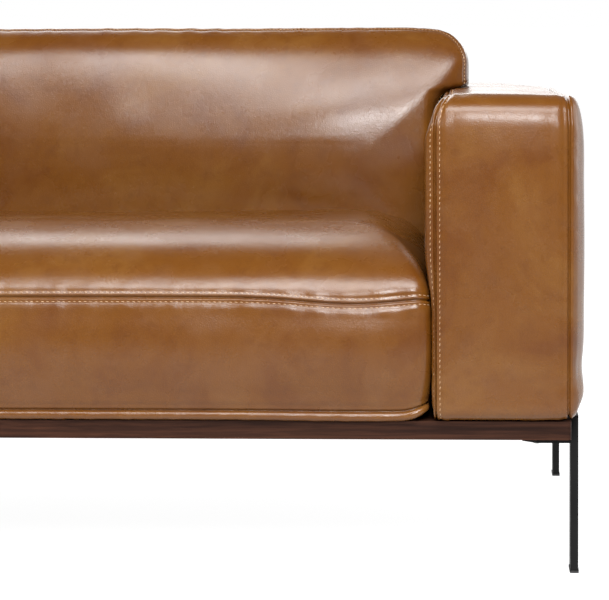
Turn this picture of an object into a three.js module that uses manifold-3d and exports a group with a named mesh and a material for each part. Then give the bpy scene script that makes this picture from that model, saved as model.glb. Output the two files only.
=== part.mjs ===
// A two-seat sofa: square padded leather arms, a padded back and two loose seat cushions on a slim
// walnut base, which stands on flat steel bars. Millimetres, +Z up, front towards -Y. The origin is
// on the floor, under the middle of the sofa.
import * as THREE from "three";
import Module from "manifold-3d";
import { mergeVertices } from "three/addons/utils/BufferGeometryUtils.js";

const wasm = await Module();
wasm.setup();

// Driving dimensions
const HALF_WIDTH = 1100;
const HALF_DEPTH = 440;
const GAP = 0.3; // between pieces that touch
const GLIDE_HEIGHT = 3;
const BASE_UNDERSIDE = 180;
const RAIL_THICK = 24;
const RAIL_WIDE = 70;
const RAIL_HALF_LENGTH = 1083.5;
const RAIL_FRONT = 427; // from the middle to the outer edge of the front and back rails
const RAIL_END_RADIUS = 5;
const BEARER_CENTRE = 905;

const BAR_THICK = 10;
const BAR_DEEP = 42;
const BAR_SETBACK = 35; // behind the rail's outer edge
const BAR_TOP = 207;
const PLATE_THICK = 5;
const PLATE_DEEP = 54;
const PLATE_WIDE = 63;
const PLATE_SETBACK = 10;
const PLATE_CHAMFER = 18;
const CENTRE_PLATE_HALF = 30;
const CENTRE_PLATE_RADIUS = 4;
const WELD_LEG = 4;
const GLIDE_RIM = 1; // beyond the bar that stands on it
const GLIDE_RADIUS = 3;
const SCREW_SHANK_RADIUS = 2.6;
const SCREW_HEAD_RADIUS = 5.5;
const SCREW_HEAD_HEIGHT = 2.4;
const SCREW_LENGTH = 20;
const SCREW_HOLE_RADIUS = 3;
const SCREW_HOLE_SPARE = 3; // how much longer a hole is than its screw
const SCREW_HOLE_CLEAR = 1.7; // how far the hole's cutter starts below the plate
const SCREW_OFFSET = 13; // from the middle of the plate, along X and along Y

const ARM_INNER = 905; // plane of the arm's inner side
const ARM_OUTER = 1090; // plane of its outer side, before its crown
const ARM_BOTTOM = 209;
const ARM_TOP = 618;
const ARM_CROWN_TOP = 8;
const ARM_CROWN_END = 8;
const ARM_EDGE_RADIUS = 26;
const ARM_WALL = 25;
const ARM_FRAME_REACH = 385; // from the middle to the front and rear of the frame inside the arm
const ARM_BOARD_INSET = 5; // between the cover and the frame's boards
const ARM_POST_INSET = 15;
const BOARD_THICK = 24;
const POST_THICK = 40;

const BACK_FRONT = 352; // from the middle to the front of the back cover
const BACK_REAR = 438;
const BACK_CROWN = 4;
const BACK_COVER_TOP = 678;
const BACK_HALF_LOW = 903; // between the arms
const BACK_HALF_HIGH = 948; // above the arms
const BACK_EAR_BOTTOM = 629;
const BACK_LOW_RADIUS = 8;
const BACK_EAR_RADIUS = 14;
const BACK_WALL = 14;
const BACK_BOARD_DEEP = 50;
const BACK_POST_SETBACK = 4; // behind the front of the boards, which leaves room for the webbing
const FRAME_CLEARANCE = 2; // between the back's frame and its cover

const PAD_BOTTOM = 210;
const PAD_TOP = 702;
const PAD_CROWN_TOP = 8;
const PAD_FRONT = 98; // front of the back pad at the seat, behind the middle
const PAD_REAR = BACK_FRONT - 2;
const PAD_CROWN_FRONT = 12;
const PAD_RADIUS = 38;
const LEAN_FROM = 425;
const LEAN_AT_TOP = 56;

const SEAT_BOTTOM = 209;
const SEAT_TOP = 426;
const SEAT_CROWN_TOP = 16;
const SEAT_FRONT = -432;
const SEAT_REAR = 80;
const SEAT_CROWN_FRONT = 8;
const SEAT_CROWN_REAR = 6;
const SEAT_RADIUS = 36;
const CUSHION_GAP = 1.5;

const CORNER_STEPS = 2; // in a soft block's round edge, from a face to its diagonal
const STRAP_WIDE = 60;
const STRAP_THICK = 2.5;
const STRAP_INNER = 20; // from the middle of the sofa to the nearest strap
const STRAP_CLEARANCE = 4; // from the outer strap to the end of the back's frame
const DECK_FRONT = -415;
const DECK_CLEARANCE = 3; // from the deck webbing to the back's frame
const BACK_STRAP_INSET = 40; // above the base board, and below the top of the frame
const CLOTH_THICK = 1;
const DUST_COVER_THICK = 0.8;
const DUST_COVER_INNER = 42;
const DUST_COVER_OUTER = 1000;
const DUST_COVER_LAP = 8; // over the front and back rails

const RAIL_TOP = BASE_UNDERSIDE + RAIL_THICK;
const BOARD_BOTTOM = RAIL_TOP + GAP;
const BOARD_TOP = BOARD_BOTTOM + BOARD_THICK;
const RAIL_INNER = RAIL_FRONT - RAIL_WIDE;
const SIDES = [["left", -1], ["right", 1]];
const ENDS = [["front", -1], ["back", 1]];

const finish = (color, roughness, metalness = 0) => ({ color, roughness, metalness });
const WALNUT = finish(0x4d3325, 0.5);
const TIMBER = finish(0xc9a878, 0.7);
const STEEL = finish(0x222222, 0.5, 0.6);
const ZINC = finish(0x9a9a96, 0.4, 0.9);
const NYLON = finish(0x1c1c1c, 0.6);
const LEATHER = finish(0x9a6536, 0.4);
const WEBBING = finish(0x2b2622, 0.9);
const CLOTH = finish(0x1f1e1d, 0.95);

const sofa = new THREE.Group();

function addPiece(name, geometry, look) {
  const piece = new THREE.Mesh(geometry, new THREE.MeshStandardMaterial(look));
  piece.name = name;
  sofa.add(piece);
}

// Solids: three.js geometry to manifold and back, for joins and cuts

function toSolid(geometry) {
  const plain = geometry.clone();
  plain.deleteAttribute("normal");
  plain.deleteAttribute("uv");
  const merged = mergeVertices(plain, 1e-4);
  return new wasm.Manifold(new wasm.Mesh({
    numProp: 3,
    vertProperties: new Float32Array(merged.attributes.position.array),
    triVerts: new Uint32Array(merged.index.array),
  }));
}

function toGeometry(solid) {
  const mesh = solid.getMesh();
  const geometry = new THREE.BufferGeometry();
  geometry.setAttribute("position", new THREE.BufferAttribute(mesh.vertProperties, 3));
  geometry.setIndex(new THREE.BufferAttribute(mesh.triVerts, 1));
  geometry.computeVertexNormals();
  return geometry;
}

const join = (...shapes) =>
  toGeometry(shapes.map(toSolid).reduce((whole, next) => whole.add(next)).asOriginal().simplify());
const cut = (shape, ...tools) =>
  toGeometry(tools.map(toSolid).reduce((rest, tool) => rest.subtract(tool), toSolid(shape)));

// A box between two corners, in any order
function boxBetween([x0, y0, z0], [x1, y1, z1]) {
  const box = new THREE.BoxGeometry(Math.abs(x1 - x0), Math.abs(y1 - y0), Math.abs(z1 - z0));
  return box.translate((x0 + x1) / 2, (y0 + y1) / 2, (z0 + z1) / 2);
}

// A flat outline in X and Y, from z0 up to z1
function slab(outline, z0, z1) {
  const settings = { depth: z1 - z0, bevelEnabled: false, curveSegments: 3 };
  return new THREE.ExtrudeGeometry(outline, settings).translate(0, 0, z0);
}

function roundedRectangle(halfX, halfY, radius) {
  const outline = new THREE.Shape();
  outline.moveTo(halfX, radius - halfY);
  outline.absarc(halfX - radius, halfY - radius, radius, 0, Math.PI / 2, false);
  outline.absarc(radius - halfX, halfY - radius, radius, Math.PI / 2, Math.PI, false);
  outline.absarc(radius - halfX, radius - halfY, radius, Math.PI, Math.PI * 1.5, false);
  outline.absarc(halfX - radius, radius - halfY, radius, Math.PI * 1.5, Math.PI * 2, false);
  return outline;
}

// Grid lines along one edge of a soft block: close together round the corner, wide apart between
function softLines(half, radius, spans) {
  const core = half - radius;
  const lines = [];
  for (let i = CORNER_STEPS; i > 0; i -= 1) {
    lines.push(-core - radius * Math.tan((Math.PI / 4) * (i / CORNER_STEPS)));
  }
  for (let i = 0; i <= spans; i += 1) lines.push(-core + (2 * core * i) / spans);
  for (let i = 1; i <= CORNER_STEPS; i += 1) {
    lines.push(core + radius * Math.tan((Math.PI / 4) * (i / CORNER_STEPS)));
  }
  return lines;
}

// A stuffed block between two corners, with round edges. crown says how far each of its six faces
// swells past the block: [x low, x high, y low, y high, z low, z high].
function softBlock(low, high, radius, crown, spans) {
  const half = low.map((value, axis) => (high[axis] - value) / 2);
  const middle = low.map((value, axis) => (high[axis] + value) / 2);
  const lines = half.map((value, axis) => softLines(value, radius, spans[axis]));
  const positions = [];
  const indices = [];
  const place = (point) => {
    const core = point.map((v, axis) => Math.min(Math.max(v, radius - half[axis]), half[axis] - radius));
    const out = point.map((v, axis) => v - core[axis]);
    const length = Math.hypot(...out);
    const normal = out.map((v) => v / length);
    return core.map((v, axis) => {
      const across = [0, 1, 2].filter((other) => other !== axis);
      const swell = across.reduce((s, other) => s * (1 - (point[other] / half[other]) ** 2), 1);
      const most = crown[2 * axis + (normal[axis] > 0 ? 1 : 0)];
      return middle[axis] + v + normal[axis] * (radius + most * swell);
    });
  };
  for (const axis of [0, 1, 2]) {
    const [u, v] = [(axis + 1) % 3, (axis + 2) % 3];
    for (const side of [-1, 1]) {
      const first = positions.length / 3;
      for (const a of lines[u]) {
        for (const b of lines[v]) {
          const point = [0, 0, 0];
          point[axis] = side * half[axis];
          point[u] = a;
          point[v] = b;
          positions.push(...place(point));
        }
      }
      const row = lines[v].length;
      for (let i = 0; i + 1 < lines[u].length; i += 1) {
        for (let j = 0; j + 1 < row; j += 1) {
          const p = first + i * row + j;
          const quad = side > 0 ? [p, p + row, p + row + 1, p + 1] : [p, p + 1, p + row + 1, p + row];
          indices.push(quad[0], quad[1], quad[2], quad[0], quad[2], quad[3]);
        }
      }
    }
  }
  const geometry = new THREE.BufferGeometry();
  geometry.setAttribute("position", new THREE.Float32BufferAttribute(positions, 3));
  geometry.setIndex(indices);
  return mergeVertices(geometry, 1e-3);
}

// Base: walnut rails, with blind holes for the leg screws

const screwSpots = (middleX, middleY, sideX, sideY) => [
  [middleX - sideX * SCREW_OFFSET, middleY + sideY * SCREW_OFFSET],
  [middleX + sideX * SCREW_OFFSET, middleY - sideY * SCREW_OFFSET],
];

const plateTop = BASE_UNDERSIDE - GAP;
const plateUnder = plateTop - PLATE_THICK;
const barBottom = GLIDE_HEIGHT + GAP;

// Middle of a corner leg's plate
const plateX = RAIL_HALF_LENGTH + GAP - PLATE_WIDE / 2;
const plateY = RAIL_FRONT - PLATE_SETBACK - PLATE_DEEP / 2;

// Through a leg's plate and on into the rail above it
function screwHole([x, y]) {
  const depth = SCREW_LENGTH + SCREW_HOLE_SPARE;
  const bottom = plateUnder - SCREW_HOLE_CLEAR;
  const hole = new THREE.CylinderGeometry(SCREW_HOLE_RADIUS, SCREW_HOLE_RADIUS, depth, 10);
  return hole.rotateX(Math.PI / 2).translate(x, y, bottom + depth / 2);
}

function addRails() {
  for (const [end, sideY] of ENDS) {
    const outline = roundedRectangle(RAIL_HALF_LENGTH, RAIL_WIDE / 2, RAIL_END_RADIUS);
    const board = slab(outline, BASE_UNDERSIDE, RAIL_TOP);
    board.translate(0, sideY * (RAIL_FRONT - RAIL_WIDE / 2), 0);
    const spots = SIDES.flatMap(([, sideX]) => screwSpots(sideX * plateX, sideY * plateY, sideX, sideY));
    addPiece(`${end}_rail`, cut(board, ...spots.map(screwHole)), WALNUT);
  }
  const reach = RAIL_INNER - GAP;
  const crossBoard = (middle) => boxBetween(
    [middle - RAIL_WIDE / 2, -reach, BASE_UNDERSIDE],
    [middle + RAIL_WIDE / 2, reach, RAIL_TOP],
  );
  for (const [side, sideX] of SIDES) {
    addPiece(`${side}_side_rail`, crossBoard(sideX * (RAIL_HALF_LENGTH - RAIL_WIDE / 2)), WALNUT);
    addPiece(`${side}_bearer`, crossBoard(sideX * BEARER_CENTRE), WALNUT);
  }
  addPiece("centre_rail", cut(crossBoard(0), ...screwSpots(0, 0, 1, -1).map(screwHole)), WALNUT);
}

// Legs: a flat bar welded to a plate, with a glide below and screws up into the rail

function chamferedPlate(wide, deep, chamfer) {
  const [x, y] = [wide / 2, deep / 2];
  return new THREE.Shape([
    new THREE.Vector2(-x + chamfer, -y),
    new THREE.Vector2(x, -y),
    new THREE.Vector2(x, y),
    new THREE.Vector2(-x, y),
    new THREE.Vector2(-x, -y + chamfer),
  ]);
}

// The bead of weld in the corner between a plate's underside and a bar's inner face, along Y
function weldBead(length) {
  const corner = new THREE.Shape([
    new THREE.Vector2(0.5, 0.5),
    new THREE.Vector2(-WELD_LEG, 0.5),
    new THREE.Vector2(-WELD_LEG, 0),
    new THREE.Vector2(-WELD_LEG / 3, -WELD_LEG / 3),
    new THREE.Vector2(0, -WELD_LEG),
    new THREE.Vector2(0.5, -WELD_LEG),
  ]);
  const bead = new THREE.ExtrudeGeometry(corner, { depth: length, bevelEnabled: false });
  return bead.rotateX(Math.PI / 2).translate(0, length / 2, 0);
}

// Mirroring turns a geometry inside out, so its triangles are turned back
function mirrored(geometry, sideX, sideY) {
  const turned = geometry.index ? geometry.toNonIndexed() : geometry.clone();
  turned.scale(sideX, sideY, 1);
  if (sideX * sideY > 0) return turned;
  const points = turned.attributes.position;
  for (let i = 0; i < points.count; i += 3) {
    const [a, b] = [i + 1, i + 2].map((n) => new THREE.Vector3().fromBufferAttribute(points, n));
    points.setXYZ(i + 1, b.x, b.y, b.z);
    points.setXYZ(i + 2, a.x, a.y, a.z);
  }
  return turned;
}

// A front right leg, whose plate holds the holes of its two screws
function cornerLeg() {
  const barX = RAIL_HALF_LENGTH + GAP;
  const barFront = -(RAIL_FRONT - BAR_SETBACK);
  const bar = boxBetween([barX, barFront, barBottom], [barX + BAR_THICK, barFront + BAR_DEEP, BAR_TOP]);
  const plate = slab(chamferedPlate(PLATE_WIDE + 1, PLATE_DEEP, PLATE_CHAMFER), plateUnder, plateTop);
  plate.translate(plateX + 0.5, -plateY, 0);
  const bead = weldBead(BAR_DEEP - 4).translate(barX, barFront + BAR_DEEP / 2, plateUnder);
  return cut(join(bar, plate, bead), ...screwSpots(plateX, -plateY, 1, -1).map(screwHole));
}

function centreLeg() {
  const bar = boxBetween(
    [-BAR_THICK / 2, -BAR_DEEP / 2, barBottom],
    [BAR_THICK / 2, BAR_DEEP / 2, plateUnder + 1],
  );
  const outline = roundedRectangle(CENTRE_PLATE_HALF, CENTRE_PLATE_HALF, CENTRE_PLATE_RADIUS);
  const plate = slab(outline, plateUnder, plateTop);
  return cut(join(bar, plate), ...screwSpots(0, 0, 1, -1).map(screwHole));
}

function screw([x, y]) {
  const head = plateUnder - GAP;
  const profile = [
    [0, head - SCREW_HEAD_HEIGHT],
    [SCREW_HEAD_RADIUS * 0.6, head - SCREW_HEAD_HEIGHT * 0.85],
    [SCREW_HEAD_RADIUS, head - SCREW_HEAD_HEIGHT * 0.3],
    [SCREW_HEAD_RADIUS, head],
    [SCREW_SHANK_RADIUS, head],
    [SCREW_SHANK_RADIUS, head + SCREW_LENGTH - 4],
    [0, head + SCREW_LENGTH],
  ].map(([radius, z]) => new THREE.Vector2(radius, z));
  const turned = new THREE.LatheGeometry(profile, 10);
  return toGeometry(toSolid(turned.rotateX(Math.PI / 2))).translate(x, y, 0);
}

function glide(x, y) {
  const outline = roundedRectangle(BAR_THICK / 2 + GLIDE_RIM, BAR_DEEP / 2 + GLIDE_RIM, GLIDE_RADIUS);
  return slab(outline, 0, GLIDE_HEIGHT).translate(x, y, 0);
}

function addLegs() {
  const leg = cornerLeg();
  for (const [end, sideY] of ENDS) {
    for (const [side, sideX] of SIDES) {
      const where = `${end}_${side}`;
      const footX = sideX * (RAIL_HALF_LENGTH + GAP + BAR_THICK / 2);
      const footY = sideY * (RAIL_FRONT - BAR_SETBACK - BAR_DEEP / 2);
      addPiece(`${where}_leg`, mirrored(leg, sideX, -sideY), STEEL);
      addPiece(`${where}_glide`, glide(footX, footY), NYLON);
      screwSpots(sideX * plateX, sideY * plateY, sideX, sideY).forEach((spot, i) => {
        addPiece(`${where}_leg_screw_${i + 1}`, screw(spot), ZINC);
      });
    }
  }
  addPiece("centre_leg", centreLeg(), STEEL);
  addPiece("centre_glide", glide(0, 0), NYLON);
  screwSpots(0, 0, 1, -1).forEach((spot, i) => addPiece(`centre_leg_screw_${i + 1}`, screw(spot), ZINC));
}

// Arms: a wooden frame that stands on the base, inside a padded cover open underneath

function addArm(side, sideX) {
  const [inner, outer] = [ARM_INNER + ARM_WALL, ARM_OUTER - ARM_WALL];
  // A box inside the arm: how far it stays from the padding at each side, then its Y and Z ranges
  const inside = (inset, [y0, y1], [z0, z1]) =>
    boxBetween([sideX * (inner + inset), y0, z0], [sideX * (outer - inset), y1, z1]);
  const reach = ARM_FRAME_REACH;
  const cavityTop = ARM_TOP - ARM_WALL;
  const topBoard = cavityTop - BOARD_THICK - 2 * GAP;
  const board = (range) => inside(ARM_BOARD_INSET, [-reach, reach], range);
  addPiece(`${side}_arm_base_board`, board([BOARD_BOTTOM, BOARD_TOP]), TIMBER);
  for (const [end, sideY] of ENDS) {
    const along = [sideY * reach, sideY * (reach - POST_THICK)];
    const post = inside(ARM_POST_INSET, along, [BOARD_TOP + GAP, topBoard - GAP]);
    addPiece(`${side}_arm_${end}_post`, post, TIMBER);
  }
  addPiece(`${side}_arm_top_board`, board([topBoard, cavityTop - GAP]), TIMBER);

  const ends = [ARM_INNER, ARM_OUTER].map((x) => sideX * x).sort((a, b) => a - b);
  const outerCrown = HALF_WIDTH - ARM_OUTER;
  const crown = sideX > 0 ? [0, outerCrown] : [outerCrown, 0];
  const block = softBlock(
    [ends[0], ARM_CROWN_END - HALF_DEPTH, ARM_BOTTOM],
    [ends[1], HALF_DEPTH - ARM_CROWN_END, ARM_TOP],
    ARM_EDGE_RADIUS,
    [...crown, ARM_CROWN_END, ARM_CROWN_END, 0, ARM_CROWN_TOP],
    [2, 4, 3],
  );
  const room = reach + ARM_BOARD_INSET;
  const hollow = inside(0, [-room, room], [ARM_BOTTOM - 10, cavityTop]);
  addPiece(`${side}_arm_cover`, cut(block, hollow), LEATHER);
}

// Back: a wooden frame in a padded cover open towards the seat, with two pads in front of it

const boardBack = BACK_REAR - BACK_WALL - FRAME_CLEARANCE;
const boardFront = boardBack - BACK_BOARD_DEEP;
const postFront = boardFront + BACK_POST_SETBACK;
const backHalfInside = BACK_HALF_LOW - BACK_WALL - FRAME_CLEARANCE;
const backBoardTop = BACK_COVER_TOP - BACK_WALL - FRAME_CLEARANCE;

function addBackFrame() {
  const board = (bottom, top) => boxBetween(
    [-backHalfInside, boardFront, bottom],
    [backHalfInside, boardBack, top],
  );
  addPiece("back_base_board", board(BOARD_BOTTOM, BOARD_TOP), TIMBER);
  addPiece("back_top_board", board(backBoardTop - BOARD_THICK, backBoardTop), TIMBER);
  const posts = [
    ["left", -backHalfInside],
    ["middle", -POST_THICK / 2],
    ["right", backHalfInside - POST_THICK],
  ];
  for (const [name, x] of posts) {
    const post = boxBetween(
      [x, postFront, BOARD_TOP + GAP],
      [x + POST_THICK, boardBack, backBoardTop - BOARD_THICK - GAP],
    );
    addPiece(`back_${name}_post`, post, TIMBER);
  }
}

function addBackCover() {
  const block = (half, bottom, top, radius) => softBlock(
    [-half, BACK_FRONT, bottom],
    [half, BACK_REAR - BACK_CROWN, top],
    radius,
    [0, 0, 0, BACK_CROWN, 0, 0],
    [3, 1, 2],
  );
  const low = block(BACK_HALF_LOW, ARM_BOTTOM, BACK_COVER_TOP - 20, BACK_LOW_RADIUS);
  const ears = block(BACK_HALF_HIGH, BACK_EAR_BOTTOM, BACK_COVER_TOP, BACK_EAR_RADIUS);
  const hollow = boxBetween(
    [BACK_WALL - BACK_HALF_LOW, BACK_FRONT - 10, ARM_BOTTOM - 10],
    [BACK_HALF_LOW - BACK_WALL, BACK_REAR - BACK_WALL, BACK_COVER_TOP - BACK_WALL],
  );
  addPiece("back_cover", cut(join(low, ears), hollow), LEATHER);
}

// Leans the front of the back pad away from the seat above LEAN_FROM; its rear face stays upright
function leanBack(geometry) {
  const points = geometry.attributes.position;
  for (let i = 0; i < points.count; i += 1) {
    const up = Math.max(0, points.getZ(i) - LEAN_FROM) / (PAD_TOP - LEAN_FROM);
    const through = (points.getY(i) - PAD_FRONT) / (PAD_REAR - PAD_FRONT);
    points.setY(i, points.getY(i) + LEAN_AT_TOP * up * (1 - through));
  }
  return geometry;
}

function addBackPads() {
  for (const [side, sideX] of SIDES) {
    const ends = [CUSHION_GAP, BACK_HALF_HIGH].map((x) => sideX * x).sort((a, b) => a - b);
    const block = softBlock(
      [ends[0], PAD_FRONT, PAD_BOTTOM],
      [ends[1], PAD_REAR, PAD_TOP],
      PAD_RADIUS,
      [0, 0, PAD_CROWN_FRONT, 0, 0, PAD_CROWN_TOP],
      [4, 2, 4],
    );
    const armSpace = boxBetween(
      [sideX * (ARM_INNER - CUSHION_GAP), 0, PAD_BOTTOM - 10],
      [sideX * HALF_WIDTH, HALF_DEPTH, BACK_EAR_BOTTOM - 1],
    );
    addPiece(`${side}_back_pad`, cut(leanBack(block), armSpace), LEATHER);
  }
}

// Springing and lining: straps in a lattice, deck cloth over them and dust covers below

// A lattice with one more strap each way than it has spaces
function strapLattice(wide, deep, spacesX, spacesY) {
  const straps = [];
  for (let i = 0; i <= spacesX; i += 1) {
    const x = ((wide - STRAP_WIDE) * i) / spacesX;
    straps.push(boxBetween([x, 0, 0], [x + STRAP_WIDE, deep, STRAP_THICK]));
  }
  for (let j = 0; j <= spacesY; j += 1) {
    const y = ((deep - STRAP_WIDE) * j) / spacesY;
    straps.push(boxBetween([0, y, 0], [wide, y + STRAP_WIDE, STRAP_THICK]));
  }
  return join(...straps);
}

function addSpringing() {
  const outer = backHalfInside - STRAP_CLEARANCE;
  const wide = outer - STRAP_INNER;
  const deep = boardFront - DECK_CLEARANCE - DECK_FRONT;
  const backBottom = BOARD_BOTTOM + BACK_STRAP_INSET;
  const backHigh = backBoardTop - BACK_STRAP_INSET - backBottom;
  for (const [side, sideX] of SIDES) {
    const start = sideX > 0 ? STRAP_INNER : -outer;
    const deck = strapLattice(wide, deep, 6, 5).translate(start, DECK_FRONT, BOARD_BOTTOM);
    addPiece(`${side}_deck_webbing`, deck, WEBBING);

    const back = strapLattice(wide, backHigh, 5, 3);
    back.rotateX(Math.PI / 2).translate(start, postFront - GAP, backBottom);
    addPiece(`${side}_back_webbing`, back, WEBBING);

    const lap = RAIL_INNER + DUST_COVER_LAP;
    const dust = boxBetween(
      [sideX * DUST_COVER_INNER, -lap, plateTop],
      [sideX * DUST_COVER_OUTER, lap, plateTop - DUST_COVER_THICK],
    );
    addPiece(`${side}_dust_cover`, dust, CLOTH);
  }
  const clothBottom = BOARD_BOTTOM + STRAP_THICK + GAP;
  const cloth = boxBetween(
    [-outer, DECK_FRONT, clothBottom],
    [outer, PAD_REAR, clothBottom + CLOTH_THICK],
  );
  addPiece("deck_cloth", cloth, CLOTH);
}

// Seat cushions, which lie loose on the deck

function addSeatCushions() {
  for (const [side, sideX] of SIDES) {
    const ends = [CUSHION_GAP, ARM_INNER - CUSHION_GAP].map((x) => sideX * x).sort((a, b) => a - b);
    const block = softBlock(
      [ends[0], SEAT_FRONT, SEAT_BOTTOM],
      [ends[1], SEAT_REAR, SEAT_TOP],
      SEAT_RADIUS,
      [0, 0, SEAT_CROWN_FRONT, SEAT_CROWN_REAR, 0, SEAT_CROWN_TOP],
      [4, 4, 2],
    );
    addPiece(`${side}_seat_cushion`, block, LEATHER);
  }
}

addRails();
addLegs();
for (const [side, sideX] of SIDES) addArm(side, sideX);
addBackFrame();
addBackCover();
addBackPads();
addSpringing();
addSeatCushions();

export default sofa;
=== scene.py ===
"""The looks of a leather sofa on a walnut base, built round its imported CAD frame.

Lengths are metres in the sofa's own frame: +Z up, front towards -Y, and the origin on the floor under the
sofa's middle. The tables of profile points are in millimetres.
Every padded piece is made once, for the right-hand end, and mirrored for the left.
"""

import math

import bpy
import numpy as np
from mathutils import Matrix, Vector
from mathutils.bvhtree import BVHTree


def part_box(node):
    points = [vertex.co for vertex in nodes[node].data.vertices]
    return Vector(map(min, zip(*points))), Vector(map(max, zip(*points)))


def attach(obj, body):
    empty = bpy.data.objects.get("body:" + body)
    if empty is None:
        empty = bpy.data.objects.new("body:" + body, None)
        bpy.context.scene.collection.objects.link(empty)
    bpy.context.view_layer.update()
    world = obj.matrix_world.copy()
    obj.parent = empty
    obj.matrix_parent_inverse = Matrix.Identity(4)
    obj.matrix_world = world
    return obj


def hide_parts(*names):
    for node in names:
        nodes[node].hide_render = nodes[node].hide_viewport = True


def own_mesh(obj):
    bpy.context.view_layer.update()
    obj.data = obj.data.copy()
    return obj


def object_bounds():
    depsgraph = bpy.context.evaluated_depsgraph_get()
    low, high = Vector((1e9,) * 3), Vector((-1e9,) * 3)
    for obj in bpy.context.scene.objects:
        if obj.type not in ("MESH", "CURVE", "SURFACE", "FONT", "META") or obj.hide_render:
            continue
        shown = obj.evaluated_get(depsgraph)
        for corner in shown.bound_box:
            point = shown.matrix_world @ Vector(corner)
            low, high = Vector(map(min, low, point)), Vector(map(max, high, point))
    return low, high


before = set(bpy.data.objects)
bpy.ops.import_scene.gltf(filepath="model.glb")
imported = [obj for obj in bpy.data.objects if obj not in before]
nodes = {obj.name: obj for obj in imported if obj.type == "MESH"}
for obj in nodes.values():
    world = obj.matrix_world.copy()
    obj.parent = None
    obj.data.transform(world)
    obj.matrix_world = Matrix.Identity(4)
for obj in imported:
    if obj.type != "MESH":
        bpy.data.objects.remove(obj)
cad_low, cad_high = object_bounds()
MM = 0.001
SIDES = {"left": -1, "right": 1}

# ---------------------------------------------------------------- camera and studio

CAMERA_PLACE = (0.9535, -3.8273, 0.7197)
YAW_LEFT = math.radians(2.931)
PITCH_DOWN = math.radians(3.114)
ROLL = math.radians(-0.209)
PIXELS_WIDE = 609
FOCAL_PIXELS = 2647.6
SENSOR = 36.0
SHIFT = (-0.05, -0.22)
FLOOR_WIDE = 600


def make_camera():
    data = bpy.data.cameras.new("camera")
    data.sensor_width = SENSOR
    data.lens = FOCAL_PIXELS / PIXELS_WIDE * SENSOR
    data.shift_x, data.shift_y = SHIFT
    camera = bpy.data.objects.new("camera", data)
    bpy.context.scene.collection.objects.link(camera)
    turn = Matrix.Rotation(YAW_LEFT, 4, "Z") @ Matrix.Rotation(math.pi / 2 - PITCH_DOWN, 4, "X")
    camera.matrix_world = Matrix.Translation(CAMERA_PLACE) @ turn @ Matrix.Rotation(ROLL, 4, "Z")
    bpy.context.scene.camera = camera


def softbox(name, place, target, size, radiance):
    """A rectangle of white light at place, which faces target."""
    data = bpy.data.lights.new(name, "AREA")
    data.shape = "RECTANGLE"
    data.size, data.size_y = size
    data.energy = radiance * math.pi * size[0] * size[1]
    light = bpy.data.objects.new(name, data)
    bpy.context.scene.collection.objects.link(light)
    light.location = place
    light.rotation_euler = (Vector(target) - Vector(place)).to_track_quat("-Z", "Y").to_euler()


def make_sky():
    """A pale studio: a bright wall behind the sofa, and dimmer air in front of it and overhead."""
    world = bpy.data.worlds.new("studio")
    world.use_nodes = True
    n = Nodes(world.node_tree)
    split = n.add("ShaderNodeSeparateXYZ")
    n.link(n.add("ShaderNodeTexCoord").outputs["Generated"], split.inputs["Vector"])
    height, behind = split.outputs["Z"], split.outputs["Y"]
    wall = n.ramp(height, [(0.0, 1.0), (0.06, 1.0), (0.22, 0.50), (0.75, 0.08)])
    front = n.ramp(height, [(0.0, 0.16), (0.75, 0.08)])
    glow = n.mix(n.ramp(behind, [(0.0, 0.0), (0.35, 1.0)]), front, wall)
    background = world.node_tree.nodes["Background"]
    n.link(glow, background.inputs["Color"])
    bpy.context.scene.world = world


def floor_material():
    """White paper that glows softly round the sofa and dims towards the front of the room."""
    material, shader, tree = new_material("studio_floor")
    n = Nodes(tree)
    split = n.add("ShaderNodeSeparateXYZ")
    n.link(n.place, split.inputs["Vector"])
    forward = n.add("ShaderNodeMapRange")
    for socket, value in (("From Min", -3.2), ("From Max", 1.6), ("To Min", 0.0), ("To Max", 1.0)):
        forward.inputs[socket].default_value = value
    n.link(split.outputs["Y"], forward.inputs["Value"])
    glow = n.ramp(forward.outputs["Result"], [(0.0, 0.10), (0.42, 0.94), (1.0, 0.98)])
    n.link(glow, shader.inputs["Emission Color"])
    shader.inputs["Emission Strength"].default_value = 1.0
    shader.inputs["Base Color"].default_value = (0.25, 0.25, 0.25, 1)
    shader.inputs["Roughness"].default_value = 0.9
    shader.inputs["Specular IOR Level"].default_value = 0.0
    return material


def make_studio():
    make_sky()
    bpy.context.scene.view_settings.view_transform = "Standard"
    bpy.ops.mesh.primitive_plane_add(size=FLOOR_WIDE, location=(0, 0, 0))
    floor = bpy.context.object
    floor.name = "studio_floor"
    floor.data.materials.append(floor_material())

    softbox("key", (1.27, -3.8, 2.4), (0.9, 0, 0.6), (0.80, 1.1), 50)
    softbox("top_front", (0.9, -2.5, 3.8), (0.7, 0, 0.5), (3.0, 1.3), 17)
    softbox("fill", (-2.3, -3.6, 2.4), (0.2, 0, 0.4), (2.2, 1.8), 3)
    softbox("back_wall", (-0.75, 2.7, 2.45), (0.3, -0.2, 0.5), (2.9, 1.8), 3.6)
    softbox("back_low", (0.7, 2.7, 1.12), (0.6, -0.2, 0.6), (3.0, 0.5), 2.8)
    softbox("rim", (3.6, 1.0, 1.3), (1.0, 0, 0.5), (2.0, 2.0), 2.0)


# ---------------------------------------------------------------- materials


def new_material(name):
    material = bpy.data.materials.new(name)
    material.use_nodes = True
    tree = material.node_tree
    shader = tree.nodes["Principled BSDF"]
    return material, shader, tree


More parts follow.
